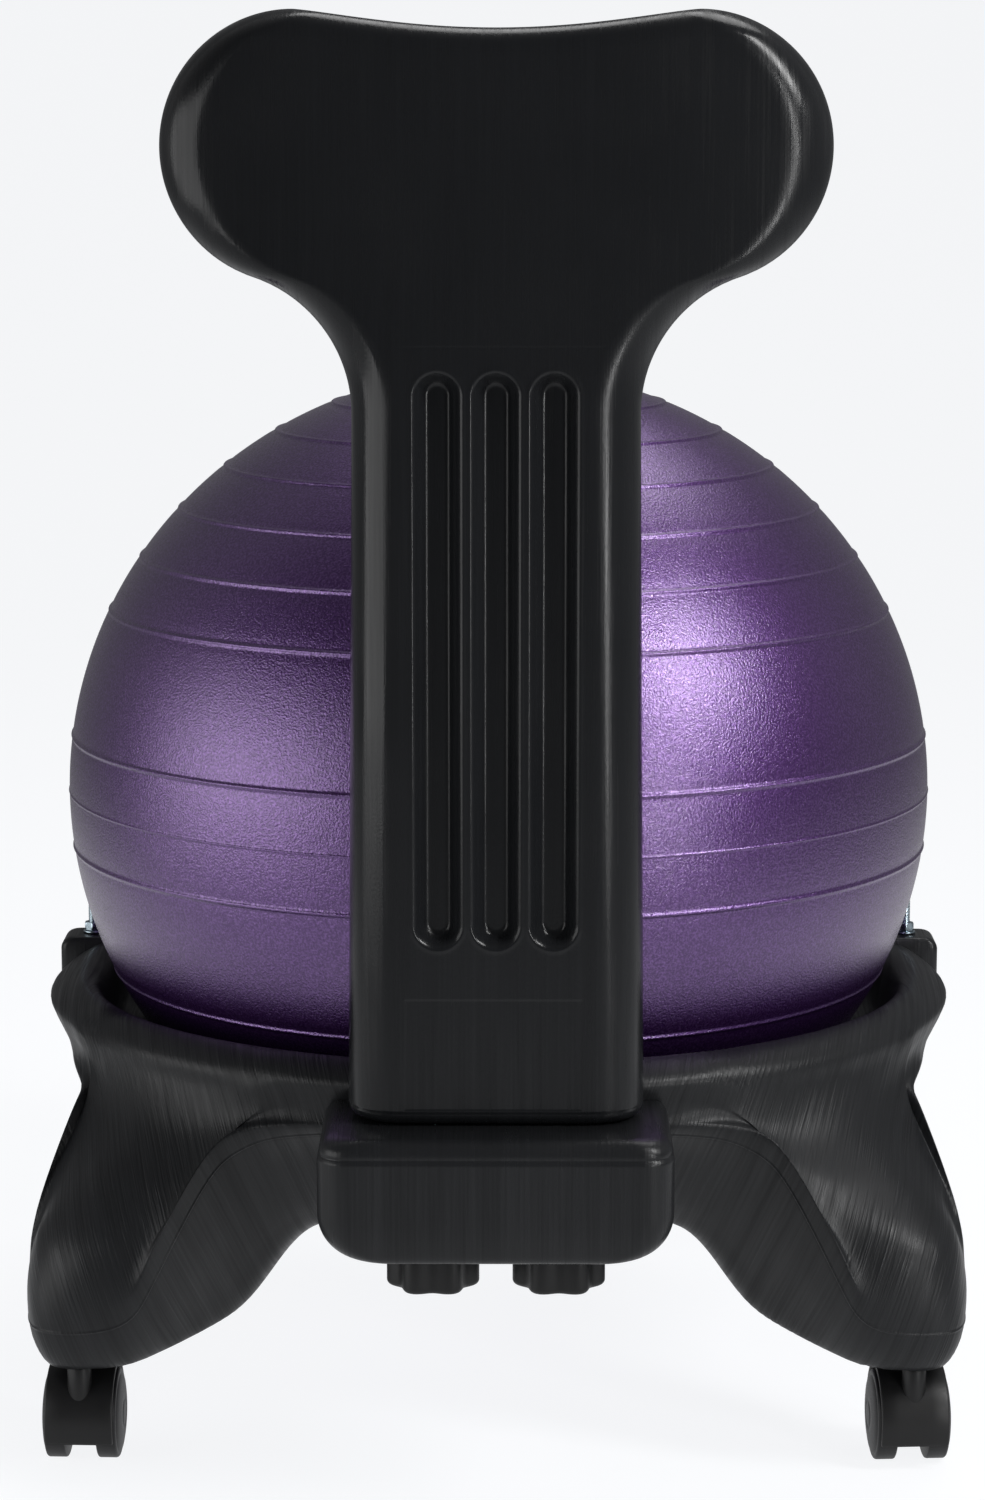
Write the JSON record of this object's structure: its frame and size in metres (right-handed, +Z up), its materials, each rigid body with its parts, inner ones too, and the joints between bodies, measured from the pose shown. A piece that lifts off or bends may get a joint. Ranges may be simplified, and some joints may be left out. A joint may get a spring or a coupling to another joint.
{
  "type": "balance ball chair",
  "caption": "Rolling chair with an exercise ball seated in a moulded ring base with legs and swivel casters, a moulded backrest clamped on a rear block and a steel bar round the ball.",
  "frame": {"origin": "on the floor under the middle of the footprint", "axes": "+Z up; the sitter faces -Y, so the backrest is at +Y; +X is the sitter's left"},
  "size_m": [0.5416, 0.6124, 0.7965],
  "materials": {
    "black_hdpe": "satin blow-moulded black polyethylene with faint flow streaks",
    "purple_vinyl": "purple vinyl with a fine grain and a soft sheen",
    "white_plug": "off-white soft plastic",
    "black_nylon": "fine satin moulded nylon",
    "wheel_nylon": "satin moulded nylon",
    "zinc_steel": "bluish bright zinc plate",
    "brass": "turned brass"
  },
  "bodies": {
    "base": {"base_shell": "black_hdpe", "retaining_bar": "zinc_steel", "bar_insert_left": "brass", "bar_washer_left": "zinc_steel", "bar_nut_left": "zinc_steel", "bar_insert_right": "brass", "bar_washer_right": "zinc_steel", "bar_nut_right": "zinc_steel", "caster_socket_rear_left": "black_nylon", "caster_socket_rear_right": "black_nylon", "caster_socket_front_left": "black_nylon", "caster_socket_front_right": "black_nylon"},
    "ball": {"ball": "purple_vinyl"},
    "valve_plug": {"valve_plug": "white_plug"},
    "backrest": {"backrest": "black_hdpe", "knob_washer_left": "zinc_steel", "thread_insert_left": "brass", "knob_washer_right": "zinc_steel", "thread_insert_right": "brass"},
    "knob_left": {"knob_left": "black_nylon", "knob_stud_left": "zinc_steel"},
    "knob_right": {"knob_right": "black_nylon", "knob_stud_right": "zinc_steel"},
    "caster_rear_left": {"caster_stem_rear_left": "zinc_steel", "caster_hood_rear_left": "black_nylon", "caster_axle_rear_left": "zinc_steel"},
    "wheel_rear_left_left": {"wheel_rear_left_left": "wheel_nylon"},
    "wheel_rear_left_right": {"wheel_rear_left_right": "wheel_nylon"},
    "caster_rear_right": {"caster_stem_rear_right": "zinc_steel", "caster_hood_rear_right": "black_nylon", "caster_axle_rear_right": "zinc_steel"},
    "wheel_rear_right_left": {"wheel_rear_right_left": "wheel_nylon"},
    "wheel_rear_right_right": {"wheel_rear_right_right": "wheel_nylon"},
    "caster_front_left": {"caster_stem_front_left": "zinc_steel", "caster_hood_front_left": "black_nylon", "caster_axle_front_left": "zinc_steel", "pedal_pin_front_left": "zinc_steel"},
    "wheel_front_left_left": {"wheel_front_left_left": "wheel_nylon"},
    "wheel_front_left_right": {"wheel_front_left_right": "wheel_nylon"},
    "lock_pedal_front_left": {"lock_pedal_front_left": "black_nylon"},
    "caster_front_right": {"caster_stem_front_right": "zinc_steel", "caster_hood_front_right": "black_nylon", "caster_axle_front_right": "zinc_steel", "pedal_pin_front_right": "zinc_steel"},
    "wheel_front_right_left": {"wheel_front_right_left": "wheel_nylon"},
    "wheel_front_right_right": {"wheel_front_right_right": "wheel_nylon"},
    "lock_pedal_front_right": {"lock_pedal_front_right": "black_nylon"}
  },
  "joints": [
    {"name": "ball_turn", "type": "hinge", "parent": "base", "child": "ball", "pos_m": [0, -0.03712, 0.3466], "axis": [0, 0, 1], "continuous": true},
    {"name": "valve_plug_pull", "type": "slide", "parent": "ball", "child": "valve_plug", "axis": [0, 0, -1], "range_m": [0, 0.017]},
    {"name": "backrest_slide", "type": "slide", "parent": "base", "child": "backrest", "axis": [0, 1, 0], "range_m": [0, 0.02]},
    {"name": "knob_left_turn", "type": "hinge", "parent": "backrest", "child": "knob_left", "pos_m": [0.0337, 0.25318, 0.134], "axis": [0, 0, 1], "continuous": true},
    {"name": "knob_right_turn", "type": "hinge", "parent": "backrest", "child": "knob_right", "pos_m": [-0.0337, 0.25318, 0.134], "axis": [0, 0, 1], "continuous": true},
    {"name": "caster_rear_left_swivel", "type": "hinge", "parent": "base", "child": "caster_rear_left", "pos_m": [0.231, 0.19388, 0.058], "axis": [0, 0, 1], "continuous": true},
    {"name": "wheel_rear_left_left_roll", "type": "hinge", "parent": "caster_rear_left", "child": "wheel_rear_left_left", "pos_m": [0.23034, 0.17489, 0.025], "axis": [0.9994, -0.0349, 0], "continuous": true},
    {"name": "wheel_rear_left_right_roll", "type": "hinge", "parent": "caster_rear_left", "child": "wheel_rear_left_right", "pos_m": [0.23034, 0.17489, 0.025], "axis": [0.9994, -0.0349, 0], "continuous": true},
    {"name": "caster_rear_right_swivel", "type": "hinge", "parent": "base", "child": "caster_rear_right", "pos_m": [-0.231, 0.19388, 0.058], "axis": [0, 0, 1], "continuous": true},
    {"name": "wheel_rear_right_left_roll", "type": "hinge", "parent": "caster_rear_right", "child": "wheel_rear_right_left", "pos_m": [-0.22967, 0.17492, 0.025], "axis": [0.9976, 0.0698, 0], "continuous": true},
    {"name": "wheel_rear_right_right_roll", "type": "hinge", "parent": "caster_rear_right", "child": "wheel_rear_right_right", "pos_m": [-0.22967, 0.17492, 0.025], "axis": [0.9976, 0.0698, 0], "continuous": true},
    {"name": "caster_front_left_swivel", "type": "hinge", "parent": "base", "child": "caster_front_left", "pos_m": [0.231, -0.26812, 0.058], "axis": [0, 0, 1], "continuous": true},
    {"name": "wheel_front_left_left_roll", "type": "hinge", "parent": "caster_front_left", "child": "wheel_front_left_left", "pos_m": [0.23397, -0.24936, 0.025], "axis": [-0.9877, 0.1564, 0], "continuous": true},
    {"name": "wheel_front_left_right_roll", "type": "hinge", "parent": "caster_front_left", "child": "wheel_front_left_right", "pos_m": [0.23397, -0.24936, 0.025], "axis": [-0.9877, 0.1564, 0], "continuous": true},
    {"name": "lock_pedal_front_left_press", "type": "hinge", "parent": "caster_front_left", "child": "lock_pedal_front_left", "pos_m": [0.23773, -0.22565, 0.05], "axis": [-0.9877, 0.1564, 0], "range_deg": [0, 20]},
    {"name": "caster_front_right_swivel", "type": "hinge", "parent": "base", "child": "caster_front_right", "pos_m": [-0.231, -0.26812, 0.058], "axis": [0, 0, 1], "continuous": true},
    {"name": "wheel_front_right_left_roll", "type": "hinge", "parent": "caster_front_right", "child": "wheel_front_right_left", "pos_m": [-0.23233, -0.24917, 0.025], "axis": [-0.9976, -0.0698, 0], "continuous": true},
    {"name": "wheel_front_right_right_roll", "type": "hinge", "parent": "caster_front_right", "child": "wheel_front_right_right", "pos_m": [-0.23233, -0.24917, 0.025], "axis": [-0.9976, -0.0698, 0], "continuous": true},
    {"name": "lock_pedal_front_right_press", "type": "hinge", "parent": "caster_front_right", "child": "lock_pedal_front_right", "pos_m": [-0.234, -0.22523, 0.05], "axis": [-0.9976, -0.0698, 0], "range_deg": [0, 20]}
  ]
}
